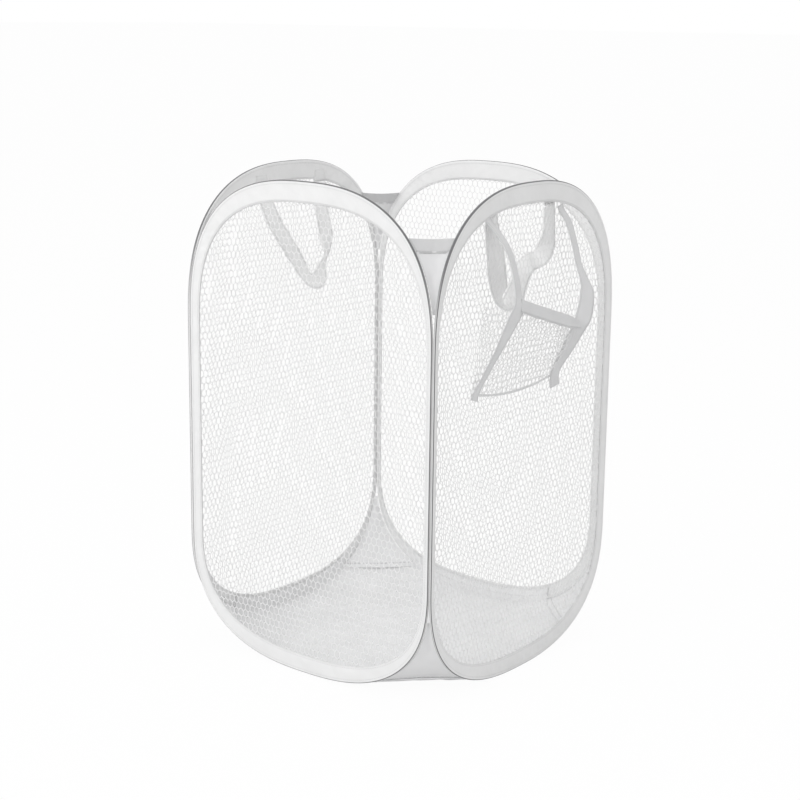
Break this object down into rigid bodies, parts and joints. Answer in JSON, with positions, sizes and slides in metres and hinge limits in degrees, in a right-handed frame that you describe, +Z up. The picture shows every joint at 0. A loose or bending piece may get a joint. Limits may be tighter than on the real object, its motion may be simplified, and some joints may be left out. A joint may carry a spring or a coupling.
{
  "type": "laundry hamper",
  "caption": "Square pop up laundry hamper: sprung oval mesh panels hinged at their corners, sheet floor, corner gussets, strap handles and a hanging mesh side pocket.",
  "frame": {"origin": "centre of the flat underside of the floor sheet, midway between the four hinge lines", "axes": "+Z up through the open mouth, -Y towards the front panel, +X towards the panel with the side pocket"},
  "size_m": [0.44, 0.3802, 0.6095],
  "materials": {
    "casing_tape": "woven polyester tape, matt",
    "spring_steel": "tempered wire",
    "crimp_steel": "crimped sleeve",
    "white_mesh": "open knitted polyester mesh",
    "grey_sheet": "plain woven polyester",
    "grey_strap": "woven webbing"
  },
  "bodies": {
    "front_panel": {"front_edge_casing": "casing_tape", "front_spring_wire": "spring_steel", "front_wire_ferrule": "crimp_steel", "front_mesh_panel": "white_mesh", "base_sheet": "grey_sheet", "front_right_lower_gusset": "grey_sheet", "front_left_lower_gusset": "grey_sheet", "front_right_upper_gusset": "grey_sheet", "front_left_upper_gusset": "grey_sheet", "front_right_gusset_hem": "grey_sheet", "front_left_gusset_hem": "grey_sheet"},
    "right_panel": {"right_edge_casing": "casing_tape", "right_spring_wire": "spring_steel", "right_wire_ferrule": "crimp_steel", "right_mesh_panel": "white_mesh", "back_right_lower_gusset": "grey_sheet", "back_right_upper_gusset": "grey_sheet", "back_right_gusset_hem": "grey_sheet", "right_handle_front_tab": "grey_strap", "right_handle_back_tab": "grey_strap", "pocket_front_tape": "grey_strap", "pocket_back_tape": "grey_strap", "pocket_mesh_bag": "white_mesh", "pocket_mouth_hem": "grey_strap", "pocket_bottom_binding": "grey_strap"},
    "back_panel": {"back_edge_casing": "casing_tape", "back_spring_wire": "spring_steel", "back_wire_ferrule": "crimp_steel", "back_mesh_panel": "white_mesh"},
    "left_panel": {"left_edge_casing": "casing_tape", "left_spring_wire": "spring_steel", "left_wire_ferrule": "crimp_steel", "left_mesh_panel": "white_mesh", "back_left_lower_gusset": "grey_sheet", "back_left_upper_gusset": "grey_sheet", "back_left_gusset_hem": "grey_sheet", "left_handle_front_tab": "grey_strap", "left_handle_back_tab": "grey_strap"},
    "right_handle": {"right_handle": "grey_strap"},
    "left_handle": {"left_handle": "grey_strap"}
  },
  "joints": [
    {"name": "panel_fold", "type": "hinge", "parent": "front_panel", "child": "right_panel", "pos_m": [0.188, -0.188, 0.3], "axis": [0, 0, 1], "range_deg": [-85, 85], "stiffness_Nm_per_rad": 0.6, "deforming": ["base_sheet", "front_right_lower_gusset", "front_right_upper_gusset", "front_right_gusset_hem"]},
    {"name": "left_panel_fold", "type": "hinge", "parent": "front_panel", "child": "left_panel", "pos_m": [-0.188, -0.188, 0.3], "axis": [0, 0, 1], "range_deg": [-85, 85], "deforming": ["back_left_lower_gusset", "back_left_upper_gusset", "back_left_gusset_hem", "front_left_lower_gusset", "front_left_upper_gusset", "front_left_gusset_hem"]},
    {"name": "back_panel_fold", "type": "hinge", "parent": "right_panel", "child": "back_panel", "pos_m": [0.188, 0.188, 0.3], "axis": [0, 0, 1], "range_deg": [-85, 85], "deforming": ["back_right_lower_gusset", "back_right_upper_gusset", "back_right_gusset_hem"]},
    {"name": "right_handle_swing", "type": "hinge", "parent": "right_panel", "child": "right_handle", "pos_m": [0.1897, -0.019, 0.578], "axis": [0, 1, 0], "range_deg": [0, 170]},
    {"name": "left_handle_swing", "type": "hinge", "parent": "left_panel", "child": "left_handle", "pos_m": [-0.1897, 0.002, 0.578], "axis": [0, -1, 0], "range_deg": [0, 170]}
  ],
  "couplings": [
    {"joint": "left_panel_fold", "follows": "panel_fold", "ratio": 1},
    {"joint": "back_panel_fold", "follows": "panel_fold", "ratio": -1}
  ]
}
